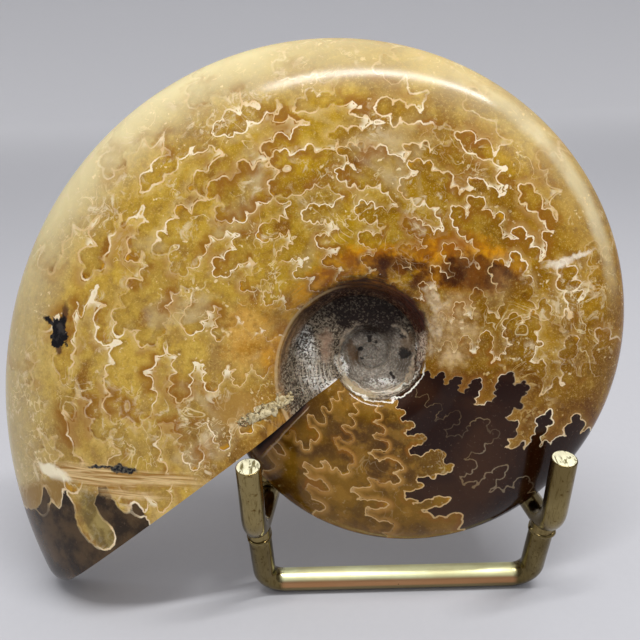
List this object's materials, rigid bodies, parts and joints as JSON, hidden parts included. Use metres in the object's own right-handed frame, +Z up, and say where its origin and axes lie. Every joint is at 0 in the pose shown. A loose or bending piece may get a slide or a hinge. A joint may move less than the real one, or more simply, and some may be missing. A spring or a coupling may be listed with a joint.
{
  "type": "half ammonite fossil on brass rod stand",
  "caption": "Polished half of a planispiral ammonite, domed outside and flat on its cut back, leaning in a bent brass rod cradle with prongs, feet and a backrest.",
  "frame": {"origin": "middle of the base of the bounding box, on the surface that the stand's feet rest on", "axes": "+Z up, -Y the way the fossil's domed side and the prongs face, +X to the right seen from there"},
  "size_m": [0.0848, 0.045, 0.0732],
  "materials": {
    "calcite": "polished honey-yellow calcite with pale frilled suture lines, dark brown chambers and a milky rim",
    "brass": "polished round brass rod with cut ends and brazed joints"
  },
  "bodies": {
    "root": {"ammonite": "calcite", "cradle_rail": "brass", "front_foot": "brass", "backrest": "brass"}
  },
  "joints": []
}
